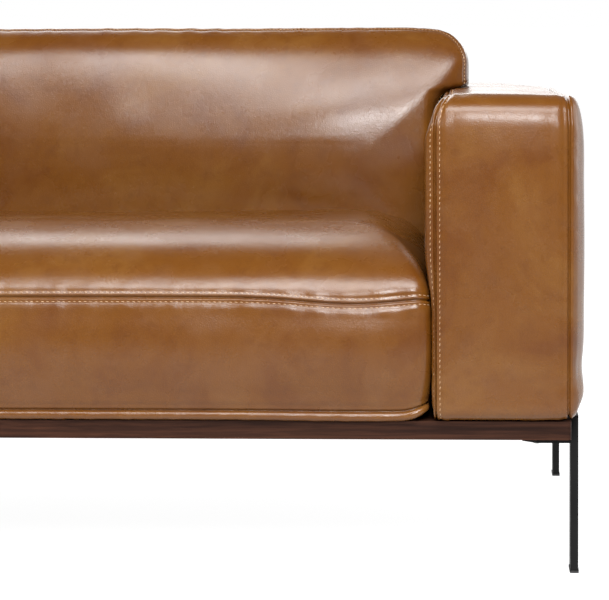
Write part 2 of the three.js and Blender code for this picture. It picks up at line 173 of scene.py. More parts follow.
class Nodes:
    """Short names for the node kinds that the materials share."""

    def __init__(self, tree):
        self.tree = tree
        self.place = self.add("ShaderNodeTexCoord").outputs["Object"]

    def add(self, kind, **values):
        node = self.tree.nodes.new(kind)
        for name, value in values.items():
            setattr(node, name, value)
        return node

    def link(self, source, target):
        self.tree.links.new(source, target)

    def scaled(self, scale):
        mapping = self.add("ShaderNodeMapping")
        mapping.inputs["Scale"].default_value = scale
        self.link(self.place, mapping.inputs["Vector"])
        return mapping.outputs["Vector"]

    def noise(self, scale, detail=2.0, roughness=0.5, distortion=0.0, vector=None):
        node = self.add("ShaderNodeTexNoise")
        node.inputs["Scale"].default_value = scale
        node.inputs["Detail"].default_value = detail
        node.inputs["Roughness"].default_value = roughness
        node.inputs["Distortion"].default_value = distortion
        self.link(self.place if vector is None else vector, node.inputs["Vector"])
        return node.outputs["Fac"]

    def cells(self, scale):
        """The distance to the nearest edge between random cells."""
        node = self.add("ShaderNodeTexVoronoi", feature="DISTANCE_TO_EDGE")
        node.inputs["Scale"].default_value = scale
        self.link(self.place, node.inputs["Vector"])
        return node.outputs["Distance"]

    def ramp(self, value, stops):
        """stops: (position, colour) pairs in rising order, the colour linear RGB or one number."""
        node = self.add("ShaderNodeValToRGB")
        node.color_ramp.interpolation = "EASE"
        for i, (position, colour) in enumerate(stops):
            rgb = (colour,) * 3 if isinstance(colour, (int, float)) else colour
            element = node.color_ramp.elements[i] if i < 2 else node.color_ramp.elements.new(position)
            element.position = position
            element.color = (*rgb, 1)
        self.link(value, node.inputs["Fac"])
        return node.outputs["Color"]

    def mix(self, share, first, second, blend="MIX"):
        node = self.add("ShaderNodeMix", data_type="RGBA", blend_type=blend)
        sockets = node.inputs["Factor"], node.inputs[6], node.inputs[7]
        for value, socket in zip((share, first, second), sockets):
            if isinstance(value, (int, float)):
                socket.default_value = value
            elif isinstance(value, tuple):
                socket.default_value = (*value, 1)
            else:
                self.link(value, socket)
        return node.outputs[2]

    def product(self, first, second):
        node = self.add("ShaderNodeMath", operation="MULTIPLY")
        self.link(first, node.inputs[0])
        self.link(second, node.inputs[1])
        return node.outputs[0]

    def bump(self, height, distance, strength=1.0, below=None):
        node = self.add("ShaderNodeBump")
        node.inputs["Distance"].default_value = distance
        node.inputs["Strength"].default_value = strength
        self.link(height, node.inputs["Height"])
        if below is not None:
            self.link(below, node.inputs["Normal"])
        return node.outputs["Normal"]


def leather_material():
    """Glazed aniline leather: clouded tan, fine pebble grain, pores and a soft gloss."""
    material, shader, tree = new_material("leather")
    n = Nodes(tree)
    clouds = n.noise(7.0, 5, 0.62, 0.8)
    deep, middle, pale = (0.108, 0.033, 0.0034), (0.128, 0.0435, 0.0048), (0.150, 0.058, 0.0095)
    colour = n.ramp(clouds, [(0.34, deep), (0.50, middle), (0.68, pale)])
    rosy = n.noise(17.0, 4, 0.6, 0.6)
    colour = n.mix(n.ramp(rosy, [(0.46, 0.0), (0.70, 0.5)]), colour, (0.138, 0.053, 0.014))
    spots = n.noise(48, 3, 0.65)
    colour = n.mix(n.ramp(spots, [(0.48, 0.0), (0.76, 0.40)]), colour, (0.092, 0.029, 0.004))
    grain = n.cells(400)
    creases = n.ramp(grain, [(0.0, 0.66), (0.16, 1.0)])
    colour = n.mix(0.34, colour, creases, "MULTIPLY")
    n.link(colour, shader.inputs["Base Color"])
    rough = n.noise(11, 4, 0.6)
    n.link(n.ramp(rough, [(0.30, 0.24), (0.75, 0.32)]), shader.inputs["Roughness"])
    shader.inputs["Specular IOR Level"].default_value = 0.40
    pebble = n.bump(grain, 0.0005, 0.34)
    ripple = n.bump(n.noise(130, 4, 0.6), 0.0005, 0.16, pebble)
    n.link(ripple, shader.inputs["Normal"])
    return material


def thread_material():
    material, shader, tree = new_material("stitch_thread")
    n = Nodes(tree)
    twist = n.noise(900, 2)
    shaded, pale = (0.42, 0.25, 0.13), (0.60, 0.42, 0.27)
    n.link(n.ramp(twist, [(0.3, shaded), (0.7, pale)]), shader.inputs["Base Color"])
    shader.inputs["Roughness"].default_value = 0.7
    n.link(n.bump(twist, 0.0003, 0.5), shader.inputs["Normal"])
    return material


def wood_material(name, dark, mid, light, roughness, along=0):
    """Straight-grained wood, its grain along the given axis: streaks, pores and a slow change of tone."""
    material, shader, tree = new_material(name)
    n = Nodes(tree)
    stretch = [26.0, 26.0, 26.0]
    stretch[along] = 1.6
    streaks = n.noise(1.0, 6, 0.62, 1.6, n.scaled(tuple(stretch)))
    fine = [260.0, 260.0, 260.0]
    fine[along] = 7.0
    pores = n.noise(1.0, 3, 0.7, 0.2, n.scaled(tuple(fine)))
    colour = n.ramp(streaks, [(0.28, dark), (0.5, mid), (0.74, light)])
    colour = n.mix(n.ramp(pores, [(0.42, 0.55), (0.58, 0.0)]), colour, dark)
    n.link(colour, shader.inputs["Base Color"])
    n.link(n.ramp(pores, [(0.3, roughness + 0.15), (0.7, roughness)]), shader.inputs["Roughness"])
    shader.inputs["Specular IOR Level"].default_value = 0.10
    n.link(n.bump(pores, 0.0004, 0.5), shader.inputs["Normal"])
    return material


def steel_material():
    """Matt black powder coat: a very fine orange-peel surface."""
    material, shader, tree = new_material("powder_coated_steel")
    n = Nodes(tree)
    peel = n.noise(700, 3, 0.6)
    tone = n.noise(14, 3)
    n.link(n.ramp(tone, [(0.3, 0.005), (0.7, 0.008)]), shader.inputs["Base Color"])
    n.link(n.ramp(tone, [(0.3, 0.52), (0.7, 0.62)]), shader.inputs["Roughness"])
    shader.inputs["Specular IOR Level"].default_value = 0.12
    n.link(n.bump(peel, 0.0003, 0.4), shader.inputs["Normal"])
    return material


def speckled_material(name, first, second, scale, roughness, metallic=0.0):
    """An even surface whose tone wavers a little."""
    material, shader, tree = new_material(name)
    n = Nodes(tree)
    grain = n.noise(scale, 3, 0.6)
    n.link(n.ramp(grain, [(0.3, first), (0.7, second)]), shader.inputs["Base Color"])
    shader.inputs["Roughness"].default_value = roughness
    shader.inputs["Metallic"].default_value = metallic
    n.link(n.bump(grain, 0.0002, 0.4), shader.inputs["Normal"])
    return material


def woven_material(name, first, second, threads_per_metre):
    """Plain weave from two crossed waves, with uneven threads."""
    material, shader, tree = new_material(name)
    n = Nodes(tree)
    waves = []
    for axis in "XY":
        wave = n.add("ShaderNodeTexWave", bands_direction=axis)
        wave.inputs["Scale"].default_value = threads_per_metre / 3.14
        wave.inputs["Distortion"].default_value = 0.4
        wave.inputs["Detail Scale"].default_value = 2.0
        n.link(n.place, wave.inputs["Vector"])
        waves.append(wave.outputs["Fac"])
    weave = n.product(*waves)
    uneven = n.noise(40, 3)
    colour = n.mix(weave, first, second)
    colour = n.mix(n.ramp(uneven, [(0.3, 0.0), (0.8, 0.4)]), colour, first)
    n.link(colour, shader.inputs["Base Color"])
    shader.inputs["Roughness"].default_value = 0.9
    n.link(n.bump(weave, 0.0006, 0.6), shader.inputs["Normal"])
    return material


WALNUT_TONES = (0.014, 0.0050, 0.0030), (0.044, 0.0165, 0.0090), (0.120, 0.0450, 0.0220)
LOOKS = {
    "leather": leather_material(),
    "thread": thread_material(),
    "walnut": wood_material("walnut", *WALNUT_TONES, 0.45),
    "walnut_across": wood_material("walnut_across", *WALNUT_TONES, 0.45, along=1),
    "timber": wood_material("frame_timber", (0.40, 0.25, 0.12), (0.55, 0.38, 0.20), (0.66, 0.49, 0.29), 0.6),
    "steel": steel_material(),
    "zinc": speckled_material("zinc_plate", (0.30, 0.30, 0.29), (0.44, 0.44, 0.42), 260, 0.38, 0.9),
    "glide": speckled_material("glide_nylon", (0.010, 0.010, 0.010), (0.018, 0.018, 0.018), 500, 0.6),
    "webbing": woven_material("elastic_webbing", (0.012, 0.010, 0.009), (0.055, 0.045, 0.036), 420),
    "lining": woven_material("lining_cloth", (0.008, 0.008, 0.008), (0.024, 0.024, 0.023), 900),
}

# ---------------------------------------------------------------- boxed pads

STITCH_ROW = 6.2 * MM  # from a seam to each line of its double topstitching
THREAD_SHARE = 0.66  # of the pitch, the rest being the gap between stitches
THREAD_RADIUS = 0.45 * MM
FINEST_ROW = 0.9 * MM  # between rows of points at a seam
ROW_GROWTH = 0.22  # how fast the rows spread with distance from a seam
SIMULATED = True
COARSE_SPACING = 0.017  # of the copy that is simulated
FILLING_FRAMES = 20
SMOOTHING_ROUNDS = 45


def spline(points, places):
    """A smooth curve through points, at places counted in points from the first."""
    p = np.vstack([2 * points[0] - points[1], points, 2 * points[-1] - points[-2]])
    i = np.clip(places.astype(int), 0, len(points) - 2)
    f = (places - i)[:, None]
    a, b, c, d = p[i], p[i + 1], p[i + 2], p[i + 3]
    return 0.5 * (2 * b + (c - a) * f + (2 * a - 5 * b + 4 * c - d) * f**2 + (3 * b - a - 3 * c + d) * f**3)


def graded_rows(length, seams, spacing):
    """Places along a profile: close together near a seam, and exact on it and on its lines of stitching."""
    marks = {0.0, length, *seams}
    for seam in seams:
        for place in (seam - STITCH_ROW, seam + STITCH_ROW):
            if min(abs(place - mark) for mark in marks) > 2 * MM and 0 < place < length:
                marks.add(place)
    marks = sorted(marks)
    fine = np.linspace(0, length, 4000)
    nearest = np.min(np.abs(fine[:, None] - np.array(seams)), axis=1)
    step = np.clip(FINEST_ROW + ROW_GROWTH * nearest, 0, spacing)
    count = np.concatenate([[0], np.cumsum(np.diff(fine) / step[:-1])])
    rows = []
    for start, end in zip(marks, marks[1:]):
        first, last = np.interp([start, end], fine, count)
        steps = max(1, round(last - first))
        rows += list(np.interp(np.linspace(first, last, steps + 1)[:-1], count, fine))
    return np.array(rows + [length])


def rounded_outline(a, b, half_u, half_v, corners):
    """Points of a rounded rectangle towards (a, b) on a square's edge, and their outward directions."""
    tall = np.abs(b) >= np.abs(a)
    main, other = np.where(tall, b, a), np.where(tall, a, b)
    half_main, half_other = np.where(tall, half_v, half_u), np.where(tall, half_u, half_v)
    radius = np.where(b < 0, corners[0], corners[1])
    eighth = radius * math.pi / 4
    flat = (half_other - radius) / (half_other - radius + eighth)
    across = np.abs(other)
    angle = np.clip((across - flat) / (1 - flat), 0, 1) * math.pi / 4
    straight = np.clip(across / flat, 0, 1) * (half_other - radius)
    m = half_main - radius + radius * np.cos(angle)
    o = straight + radius * np.sin(angle)
    m, o = m * np.sign(main), o * np.sign(other)
    nm, no = np.cos(angle) * np.sign(main), np.sin(angle) * np.sign(other)
    place = np.where(tall[:, None], np.stack([o, m], 1), np.stack([m, o], 1))
    out = np.where(tall[:, None], np.stack([no, nm], 1), np.stack([nm, no], 1))
    return place, out


def normals_of(points, faces):
    corners = [points[faces[:, i]] for i in range(4)]
    across = np.cross(corners[2] - corners[0], corners[3] - corners[1])
    total = np.zeros_like(points)
    for i in range(4):
        for k in range(3):
            total[:, k] += np.bincount(faces[:, i], across[:, k], len(points))
    return total / np.maximum(np.linalg.norm(total, axis=1, keepdims=True), 1e-12)


def smoothed(values, faces, rounds):
    """Values at points, each averaged with its neighbours' a number of times."""
    size = len(values)
    starts = np.concatenate([faces[:, i] for i in range(4)])
    ends = np.concatenate([faces[:, (i + 1) % 4] for i in range(4)])
    neighbours = np.bincount(starts, minlength=size) + np.bincount(ends, minlength=size)
    for _ in range(rounds):
        total = np.bincount(starts, values[ends], size) + np.bincount(ends, values[starts], size)
        values = 0.4 * values + 0.6 * total / neighbours
    return values


def ripples(points, wavelength, seed, count=14):
    """A smooth random field, about -1 to 1, of roughly that wavelength."""
    draw = np.random.default_rng(seed)
    total = np.zeros(len(points))
    for _ in range(count):
        direction = draw.normal(size=3)
        direction /= np.linalg.norm(direction)
        wave = 2 * math.pi / (wavelength * draw.uniform(0.7, 1.6))
        total += np.sin(points @ direction * wave + draw.uniform(0, 2 * math.pi))
    return total / math.sqrt(count)


def bump_at(values, middle, width):
    return np.exp(-(((values - middle) / width) ** 2))


def rise(values, start, end):
    """0 before start, 1 after end, and smooth between."""
    t = np.clip((values - start) / (end - start), 0, 1)
    return t * t * (3 - 2 * t)


class Pad:
    """A padded box of leather: two panels that face along one axis, joined by a band, sewn along seams.

    profiles gives, for each of the band's four sides, the same number of (inset, place) points in mm, from
    the rim of the lower panel over the edge to the rim of the upper one. An inset is from the box's side,
    and a place is along the axis. seams lists which of those points are seams. lead names the side whose
    lengths set the rows.
    """

    def __init__(self, low, high, axis, corner, profiles, seams, lead, spacing):
        self.axis = axis
        self.u, self.v = [a for a in range(3) if a != axis]
        self.middle = (low + high) / 2
        self.half = (high - low) / 2
        self.corner = corner
        self.profiles = {side: np.array(points, float) * MM for side, points in profiles.items()}
        self.seams = seams
        self.lead = lead
        self.spacing = spacing
        self.set_rows()
        self.set_points()
        self.set_faces()

    def set_rows(self):
        lead = self.profiles[self.lead]
        fine = np.linspace(0, len(lead) - 1, 40 * len(lead))
        steps = np.linalg.norm(np.diff(spline(lead, fine), axis=0), axis=1)
        lengths = np.concatenate([[0], np.cumsum(steps)])
        self.seam_rows = np.interp(self.seams, fine, lengths)
        self.rows = graded_rows(lengths[-1], list(self.seam_rows), self.spacing)
        self.row_places = np.interp(self.rows, lengths, fine)

    def set_points(self):
        u, v, w = self.u, self.v, self.axis
        half_u, half_v = self.half[u], self.half[v]
        nu, nv = (max(6, round(2 * h / self.spacing)) for h in (half_u, half_v))
        self.counts = nu, nv
        a, b = np.linspace(-1, 1, nu + 1), np.linspace(-1, 1, nv + 1)
        ring_a = np.concatenate([a[:-1], np.ones(nv), a[:0:-1], -np.ones(nv)])
        ring_b = np.concatenate([-np.ones(nu), b[:-1], np.ones(nu), b[:0:-1]])
        place, out = rounded_outline(ring_a, ring_b, half_u, half_v, self.corner)
        self.ring_size = len(place)
        gaps = np.linalg.norm(np.roll(place, -1, axis=0) - place, axis=1)
        ring_length = np.concatenate([[0], np.cumsum(gaps)[:-1]])

        curves = {side: spline(points, self.row_places) for side, points in self.profiles.items()}
        side_u = np.where(place[:, 0] > 0, "u+", "u-")
        side_v = np.where(place[:, 1] > 0, "v+", "v-")
        share_u = out[:, 0] ** 2
        band = np.zeros((len(self.rows), self.ring_size, 3))
        for ring in range(self.ring_size):
            curve_u, curve_v = curves[side_u[ring]], curves[side_v[ring]]
            band[:, ring, u] = self.middle[u] + place[ring, 0] * (1 - curve_u[:, 0] / half_u)
            band[:, ring, v] = self.middle[v] + place[ring, 1] * (1 - curve_v[:, 0] / half_v)
            band[:, ring, w] = share_u[ring] * curve_u[:, 1] + (1 - share_u[ring]) * curve_v[:, 1]

        inner_a, inner_b = (grid.ravel() for grid in np.meshgrid(a[1:-1], b[1:-1], indexing="ij"))
        panels = [self.panel_points(band[row], inner_a, inner_b) for row in (0, -1)]
        self.points = np.vstack([band.reshape(-1, 3), *panels])
        seam = np.min(np.abs(self.rows[:, None] - self.seam_rows), axis=1)
        ring_seam = np.repeat(seam, self.ring_size)
        self.seam = np.concatenate([ring_seam, np.full(2 * len(inner_a), 1.0)])
        self.along = np.concatenate([np.tile(ring_length, len(self.rows)), np.zeros(2 * len(inner_a))])
        self.on_band = np.arange(len(self.points)) < band.shape[0] * band.shape[1]
        self.row = np.concatenate([np.repeat(self.rows, self.ring_size), np.full(2 * len(inner_a), -1.0)])

    def panel_points(self, rim, a, b):
        """Points inside a panel, drawn in from its rim towards its middle."""
        nu, nv = self.counts
        t = np.maximum(np.abs(a), np.abs(b))
        t = np.maximum(t, 1e-9)
        x, y = a / t, b / t
        place = np.select(
            [y <= -1 + 1e-9, x >= 1 - 1e-9, y >= 1 - 1e-9],
            [(x + 1) / 2 * nu, nu + (y + 1) / 2 * nv, nu + nv + (1 - x) / 2 * nu],
            2 * nu + nv + (1 - y) / 2 * nv,
        )
        before = place.astype(int) % self.ring_size
        share = (place - place.astype(int))[:, None]
        edge = rim[before] * (1 - share) + rim[(before + 1) % self.ring_size] * share
        centre = (rim.min(axis=0) + rim.max(axis=0)) / 2
        return centre + (edge - centre) * t[:, None]

    def set_faces(self):
        nu, nv = self.counts
        rows, size = len(self.rows), self.ring_size
        faces = []
        ring = np.arange(size)
        following = (ring + 1) % size
        for k in range(rows - 1):
            here, above = k * size, (k + 1) * size
            faces.append(np.stack([here + ring, here + following, above + following, above + ring], 1))
        inner = (nu - 1) * (nv - 1)
        for panel, row in enumerate((0, rows - 1)):
            grid = np.zeros((nu + 1, nv + 1), int)
            grid[1:-1, 1:-1] = rows * size + panel * inner + np.arange(inner).reshape(nu - 1, nv - 1)
            i, j = np.arange(nu + 1), np.arange(nv + 1)
            grid[:, 0] = row * size + i
            grid[nu, :] = row * size + nu + j
            grid[:, nv] = row * size + nu + nv + (nu - i)
            grid[0, 1:] = row * size + 2 * nu + nv + (nv - j[1:])
            quads = np.stack([grid[:-1, :-1], grid[:-1, 1:], grid[1:, 1:], grid[1:, :-1]], -1).reshape(-1, 4)
            faces.append(quads if panel == 0 else quads[:, ::-1])
        self.faces = np.vstack(faces)
        self.turn_out()

    def turn_out(self):
        """Makes every face look outwards."""
        a, b, c, d = (self.points[self.faces[:, i]] - self.middle for i in range(4))
        if np.sum(a * np.cross(b, c)) + np.sum(a * np.cross(c, d)) < 0:
            self.faces = self.faces[:, ::-1]

    def push(self, amounts):
        self.points += normals_of(self.points, self.faces) * amounts[:, None]

    def loop(self, seam, offset):
        """The closed line of points at an offset from a seam along the band, and its outward directions."""
        row = int(np.argmin(np.abs(self.rows - self.seam_rows[seam] - offset)))
        chosen = slice(row * self.ring_size, (row + 1) * self.ring_size)
        return self.points[chosen], normals_of(self.points, self.faces)[chosen]


def sew(pad, depths, stitched, pucker, seed):
    """Seam grooves with a raised lip on each side, a dip under each line of stitches, and small gathers."""
    wave = np.random.default_rng(seed)
    gathers = np.zeros(len(pad.points))
    for _ in range(10):
        gathers += np.sin(pad.along * 2 * math.pi / wave.uniform(0.016, 0.055) + wave.uniform(0, 7))
    for place, depth, has_stitches in zip(pad.seam_rows, depths, stitched):
        s = np.abs(pad.row - place)
        s[~pad.on_band] = 1.0
        shape = -3.4 * bump_at(s, 0, 1.5 * MM) + 0.9 * bump_at(s, 3.2 * MM, 1.9 * MM)
        shape += 0.9 * bump_at(s, 13 * MM, 6 * MM)
        if has_stitches:
            shape -= 0.7 * bump_at(s, STITCH_ROW, 1.2 * MM)
        shape += pucker * gathers / 10**0.5 * bump_at(s, 9 * MM, 8 * MM)
        pad.push(shape * depth * MM)


def make_mesh(name, points, faces, *looks):
    mesh = bpy.data.meshes.new(name)
    mesh.from_pydata(points.tolist(), [], faces.tolist())
    mesh.polygons.foreach_set("use_smooth", [True] * len(mesh.polygons))
    mesh.update()
    for look in looks:
        mesh.materials.append(LOOKS[look])
    thing = bpy.data.objects.new(name, mesh)
    bpy.context.scene.collection.objects.link(thing)
    return thing


def mirrored(points, faces, side):
    """Right-hand points and faces as they are, or mirrored for the left."""
    if side > 0:
        return points, faces
    return points * np.array([-1, 1, 1]), faces[:, ::-1]


def thread_faces(around, rings):
    """The faces of one closed six-sided thread: its sides and its two ends."""
    k, j = np.meshgrid(np.arange(rings - 1), np.arange(around), indexing="ij")
    beside = (j + 1) % around
    here, ahead = k * around, (k + 1) * around
    sides = np.stack([here + j, ahead + j, ahead + beside, here + beside], -1)
    first_end = np.array([[0, 1, 2, 3], [0, 3, 4, 5]])
    last_end = (rings - 1) * around + np.array([[3, 2, 1, 0], [5, 4, 3, 0]])
    return np.vstack([sides.reshape(-1, 4), first_end, last_end])


def stitches(lines, pitch, length, radius):
    """Short slanted threads along closed lines of (points, outward directions)."""
    around, along = 6, np.array([-1.0, -0.7, 0.0, 0.7, 1.0])
    slant = 0.16
    one = thread_faces(around, len(along))
    thickness = np.array([0.35, 0.9, 1.0, 0.9, 0.35])
    lift = np.array([-1.1, -0.1, 0.35, -0.1, -1.1])
    angle = np.arange(around) / around * 2 * math.pi
    all_points, all_faces = [], []
    for points, outs in lines:
        closed, outs = np.vstack([points, points[:1]]), np.vstack([outs, outs[:1]])
        lengths = np.concatenate([[0], np.cumsum(np.linalg.norm(np.diff(closed, axis=0), axis=1))])
        count = round(lengths[-1] / pitch)
        places = (np.arange(count) + 0.5) * lengths[-1] / count
        centre = np.stack([np.interp(places, lengths, closed[:, k]) for k in range(3)], 1)
        ahead = np.stack([np.interp(places + 1e-4, lengths, closed[:, k]) for k in range(3)], 1)
        out = np.stack([np.interp(places, lengths, outs[:, k]) for k in range(3)], 1)
        forward = (ahead - centre) / np.linalg.norm(ahead - centre, axis=1, keepdims=True)
        out -= forward * np.sum(out * forward, axis=1, keepdims=True)
        out /= np.linalg.norm(out, axis=1, keepdims=True)
        across = np.cross(forward, out)
        forward = forward + slant * across
        height = (lift[:, None] + thickness[:, None] * np.sin(angle)) * radius
        width = (thickness[:, None] * np.cos(angle)) * radius
        ring = (
            centre[:, None, None]
            + forward[:, None, None] * (along * length / 2)[:, None, None]
            + out[:, None, None] * height[:, :, None]
            + across[:, None, None] * width[:, :, None]
        )
        start = sum(len(p) for p in all_points)
        all_points.append(ring.reshape(-1, 3))
        offsets = start + np.arange(count) * around * len(along)
        all_faces.append((one[None] + offsets[:, None, None]).reshape(-1, 4))
    return np.vstack(all_points), np.vstack(all_faces)


def set_cloth(cloth, pressure, slack):
    """Leather that stretches and bends little, pinned at its seams and filled by pressure."""
    settings = cloth.settings
    settings.quality = 6
    settings.mass = 0.4
    settings.tension_stiffness = 12
    settings.compression_stiffness = 12
    settings.shear_stiffness = 6
    settings.bending_stiffness = 1.5
    settings.use_pressure = True
    settings.uniform_pressure_force = pressure
    settings.shrink_min = -slack
    settings.vertex_group_mass = "sewn"
    settings.effector_weights.gravity = 0
    cloth.collision_settings.use_collision = False


def swell(make, room, pressure, slack, cap):
    """How far the leather moves outwards when it is filled, from a cloth simulation of a coarser copy.

    make(spacing) gives the pad at any spacing, seams stay where they are, and room(points) gives, from 0 to
    1, how free each point is to move. Returns the copy's points and faces, and how far each point moves.
    """
    coarse = make(COARSE_SPACING)
    thing = make_mesh("swell", coarse.points, coarse.faces)
    mesh = thing.data
    pins = thing.vertex_groups.new(name="sewn")
    pins.add([int(i) for i in np.flatnonzero(coarse.seam < 1e-6)], 1.0, "REPLACE")
    cloth = thing.modifiers.new("cloth", "CLOTH")
    set_cloth(cloth, pressure, slack)
    scene = bpy.context.scene
    for step in range(1, FILLING_FRAMES + 1):
        scene.frame_set(step)
    filled = thing.evaluated_get(bpy.context.evaluated_depsgraph_get())
    moved = np.zeros(len(coarse.points) * 3)
    filled.data.vertices.foreach_get("co", moved)
    outs = normals_of(coarse.points, coarse.faces)
    shift = np.sum((moved.reshape(-1, 3) - coarse.points) * outs, axis=1)
    scene.frame_set(1)
    bpy.data.objects.remove(thing)
    bpy.data.meshes.remove(mesh)
    shift = np.clip(np.nan_to_num(shift), -0.5 * cap, cap) * room(coarse.points)
    return coarse.points, coarse.faces, shift


def take_swelling(pad, source):
    """Gives a pad the movement that swell() found, read from the nearest place on the coarser copy."""
    points, faces, shift = source
    tree = BVHTree.FromPolygons([Vector(p) for p in points], faces.tolist())
    found = np.zeros(len(pad.points))
    for i, point in enumerate(pad.points):
        place, _, face, _ = tree.find_nearest(Vector(point))
        corners = faces[face]
        distance = np.linalg.norm(points[corners] - np.array(place), axis=1)
        weight = 1 / np.maximum(distance, 1e-5) ** 2
        found[i] = np.sum(weight * shift[corners]) / np.sum(weight)
    found = smoothed(found, pad.faces, SMOOTHING_ROUNDS)
    near_seam = 1 - bump_at(pad.seam, 0, 9 * MM)
    pad.push(found * near_seam)


# ---------------------------------------------------------------- the padded pieces, for the right-hand end

SEAT_RIGHT, SEAT_REAR = 0.9035, 0.086
BACK_REACH = 0.951  # how far right the back pad goes above the arm
BESIDE_ARM = 0.888  # where the back starts to follow the arm
# (height, how far right the back may go there), down the arm's round inner shoulder
ARM_SHOULDER = [
    (0.590, 0.9035),
    (0.600, 0.9065),
    (0.608, 0.9115),
    (0.614, 0.9170),
    (0.618, 0.9240),
    (0.6215, 0.9400),
]
ARM_TOP = 0.624


def box_of(node):
    """The low and high corners of a node of the frame, as arrays."""
    low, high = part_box(node)
    return np.array(low), np.array(high)


def seat_pad(spacing):
    low, high = box_of("right_seat_cushion")
    front = [
        (64, 209.3), (44, 209.1), (30, 208.6), (19, 206.6), (9.5, 206.2), (5.5, 211.5), (9, 218.0),
        (6, 233), (2, 256), (0, 290), (0.5, 328), (4, 366), (13, 389), (36, 406), (72, 420),
        (116, 431), (164, 438), (212, 442),
    ]
    side = [
        (44, 209.3), (31, 209.1), (20, 208.9), (11, 209.1), (5, 211), (3.5, 214.5), (5, 220.0),
        (3, 234), (1, 256), (0, 290), (0, 328), (2, 362), (7, 386), (17, 404), (32, 418), (51, 429),
        (74, 436.5), (100, 440),
    ]
    back = [
        (44, 209.3), (31, 209.1), (20, 208.9), (11, 209.1), (5, 211), (3.5, 214.5), (5, 220.0),
        (3, 234), (1, 256), (0, 290), (0, 328), (0.5, 366), (2, 394), (6, 414), (13, 427),
        (24, 434.5), (40, 438.5), (60, 440),
    ]
    profiles = {"v-": front, "u+": side, "u-": back, "v+": back}
    pad = Pad(low, high, 2, (0.017, 0.017), profiles, [6, 11], "v-", spacing)
    x, y, z = pad.points.T
    in_front = rise(-y, 0.28, 0.40)
    sag = -9 * MM * bump_at(x, 0.800, 0.085) - 5 * MM * bump_at(x, 0.14, 0.09)
    lift = 8 * MM * rise(x, 0.862, 0.905) * (1 - rise(z, 0.225, 0.290))
    droop = -1.6 * MM * bump_at(x, 0.80, 0.10) * (1 - rise(z, 0.205, 0.24))
    pad.points[:, 2] += in_front * (sag * bump_at(z, 0.372, 0.040) + lift + droop)
    bulge = 7 * MM * bump_at(z, 0.300, 0.062) * in_front * (1 - rise(np.abs(x - 0.4525), 0.36, 0.45))
    pad.points[:, 1] -= bulge
    return pad


def seat_room(points):
    x, y, z = points.T
    sideways = rise(SEAT_RIGHT - x, 0.004, 0.060) * rise(x, 0.002, 0.05)
    return rise(z, 0.225, 0.300) * sideways * rise(SEAT_REAR - y, 0.004, 0.05)


def beside_arm(x, z, wide):
    """Where x goes on a piece that is wide above the arms, follows their shoulder and is narrow between."""
    heights, reaches = zip(*ARM_SHOULDER, (ARM_TOP, wide))
    reach = np.interp(z, heights, reaches)
    narrowed = BESIDE_ARM + (x - BESIDE_ARM) * (reach - BESIDE_ARM) / (wide - BESIDE_ARM)
    return np.where(x > BESIDE_ARM, narrowed, x)


def back_pad(spacing):
    low, high = box_of("right_back_pad")
    high[0] = BACK_REACH
    right = [
        (150, 85), (112, 86), (78, 88.5), (50, 93), (28, 100), (14, 109), (6, 120), (2, 138),
        (0, 162), (0, 202), (0, 246), (1, 290), (5, 325), (12, 336), (24, 343), (40, 347),
        (60, 348),
    ]
    left = [
        (130, 85), (98, 85.5), (68, 87), (43, 91), (24, 97), (11, 105), (4, 116), (1, 134),
        (0, 162), (0, 202), (0, 246), (1, 290), (5, 325), (12, 336), (24, 343), (40, 347),
        (60, 348),
    ]
    top = [
        (165, 85), (126, 87.5), (89, 93), (56, 102), (28, 115), (8.5, 134), (0.6, 160), (0, 180),
        (2, 202), (6, 224), (12, 254), (20, 287), (30, 320), (41, 333), (56, 341), (76, 346),
        (100, 348),
    ]
    bottom = [
        (120, 90), (92, 91.5), (64, 95), (40, 101), (21, 109), (9, 118), (4, 129), (1, 146),
        (0, 168), (0, 205), (0, 248), (1, 290), (5, 325), (12, 336), (24, 343), (40, 347),
        (60, 348),
    ]
    profiles = {"u+": right, "u-": left, "v+": top, "v-": bottom}
    pad = Pad(low, high, 1, (0.025, 0.048), profiles, [6, 12], "v+", spacing)
    relax(pad, 1)
    x, y, z = pad.points.T
    pad.points[:, 2] -= 5 * MM * rise(x, 0.845, 0.945) * rise(z, 0.60, 0.68)
    pad.points[:, 0] = beside_arm(x, pad.points[:, 2], BACK_REACH)
    front = 1 - rise(y, 0.16, 0.26)
    lean = MM * (8 + 18 * rise(x, 0.35, 0.80)) * np.clip((z - 0.50) / 0.20, 0, 1) ** 1.5
    pad.points[:, 1] += np.clip((0.30 - y) / 0.20, 0, 1) * lean
    crown = bump_at(z, 0.535, 0.080) * (1 - rise(np.abs(x - 0.45), 0.28, 0.46))
    pad.points[:, 1] -= 3 * MM * crown * front
    return pad


def back_room(points):
    x, y, z = points.T
    sideways = rise(x, 0.003, 0.03) * rise(0.93 - x, 0.0, 0.16) * (0.4 + 0.6 * rise(x, 0.35, 0.75))
    return (1 - rise(y, 0.17, 0.24)) * rise(z, 0.43, 0.50) * sideways


